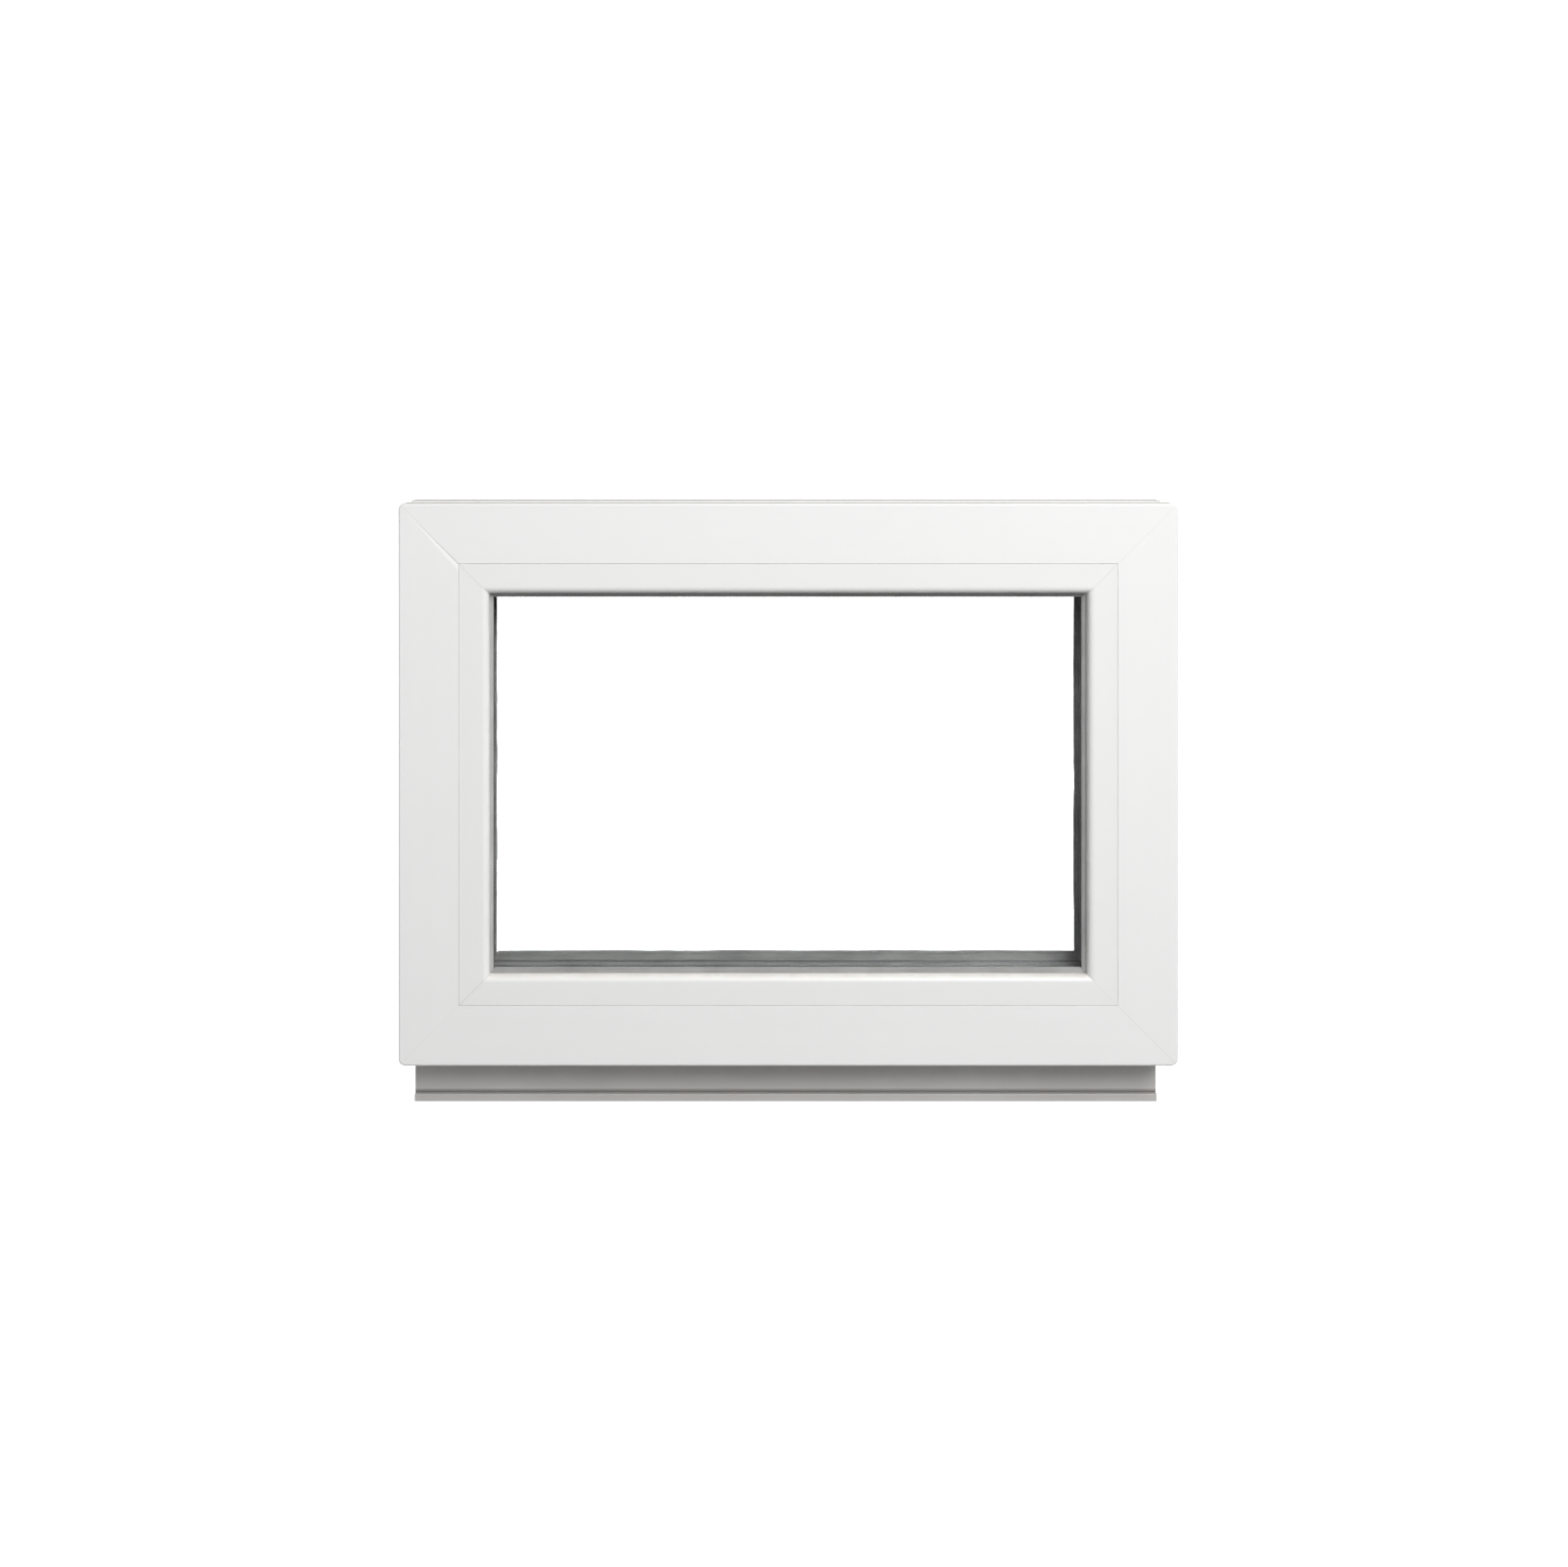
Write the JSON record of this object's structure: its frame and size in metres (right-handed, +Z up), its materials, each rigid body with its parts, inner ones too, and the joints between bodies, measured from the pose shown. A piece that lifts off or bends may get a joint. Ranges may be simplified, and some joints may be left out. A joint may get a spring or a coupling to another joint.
{
  "type": "fixed light window",
  "caption": "White PVC-U fixed-light window with mitred glazing beads, triple glass, grey gaskets and a grey sill connection profile below.",
  "frame": {"origin": "on the underside of the sill profile, below the middle of the frame's width and depth", "axes": "+X to the right seen from the room, +Y from the room to the weather, +Z up"},
  "size_m": [0.6, 0.0785, 0.4705],
  "materials": {
    "white_pvc": "smooth extruded PVC-U, low gloss",
    "galvanised_steel": "galvanised",
    "light_gasket": "light grey soft lip",
    "weather_gasket": "grey soft lip",
    "clear_glass": "clear float glass",
    "key_plastic": "moulded",
    "spacer_metal": "grey warm-edge spacer",
    "edge_sealant": "black edge sealant",
    "packer_plastic": "moulded packer",
    "screw_zinc": "zinc plated",
    "grey_pvc": "grey extruded PVC-U",
    "seal_foam": "closed cell foam tape",
    "white_cap_plastic": "moulded"
  },
  "bodies": {
    "window": {"bead_gasket_bottom": "light_gasket", "bead_gasket_left": "light_gasket", "bead_gasket_right": "light_gasket", "bead_gasket_top": "light_gasket", "drain_cover_left": "white_cap_plastic", "drain_cover_right": "white_cap_plastic", "edge_seal_room": "edge_sealant", "edge_seal_weather": "edge_sealant", "frame_bottom": "white_pvc", "frame_left": "white_pvc", "frame_right": "white_pvc", "frame_top": "white_pvc", "glass_pane_middle": "clear_glass", "glass_pane_room": "clear_glass", "glass_pane_weather": "clear_glass", "glazing_bead_bottom": "white_pvc", "glazing_bead_left": "white_pvc", "glazing_bead_right": "white_pvc", "glazing_bead_top": "white_pvc", "rebate_packers": "packer_plastic", "reinforcement_screws": "screw_zinc", "setting_packers": "packer_plastic", "sill_profile": "grey_pvc", "sill_screws": "screw_zinc", "sill_seal_strip": "seal_foam", "spacer_corner_keys": "key_plastic", "spacer_room_bottom": "spacer_metal", "spacer_room_left": "spacer_metal", "spacer_room_right": "spacer_metal", "spacer_room_top": "spacer_metal", "spacer_weather_bottom": "spacer_metal", "spacer_weather_left": "spacer_metal", "spacer_weather_right": "spacer_metal", "spacer_weather_top": "spacer_metal", "steel_reinforcement_bottom": "galvanised_steel", "steel_reinforcement_left": "galvanised_steel", "steel_reinforcement_right": "galvanised_steel", "steel_reinforcement_top": "galvanised_steel", "weather_gasket_bottom": "weather_gasket", "weather_gasket_left": "weather_gasket", "weather_gasket_right": "weather_gasket", "weather_gasket_top": "weather_gasket"},
    "flap_left": {"drain_flap_left": "white_cap_plastic"},
    "flap_right": {"drain_flap_right": "white_cap_plastic"}
  },
  "joints": [
    {"name": "flap_left_hinge", "type": "hinge", "parent": "window", "child": "flap_left", "pos_m": [-0.15, 0.0368, 0.0539], "axis": [1, 0, 0], "range_deg": [0, 20]},
    {"name": "flap_right_hinge", "type": "hinge", "parent": "window", "child": "flap_right", "pos_m": [0.15, 0.0368, 0.0539], "axis": [1, 0, 0], "range_deg": [0, 20]}
  ]
}
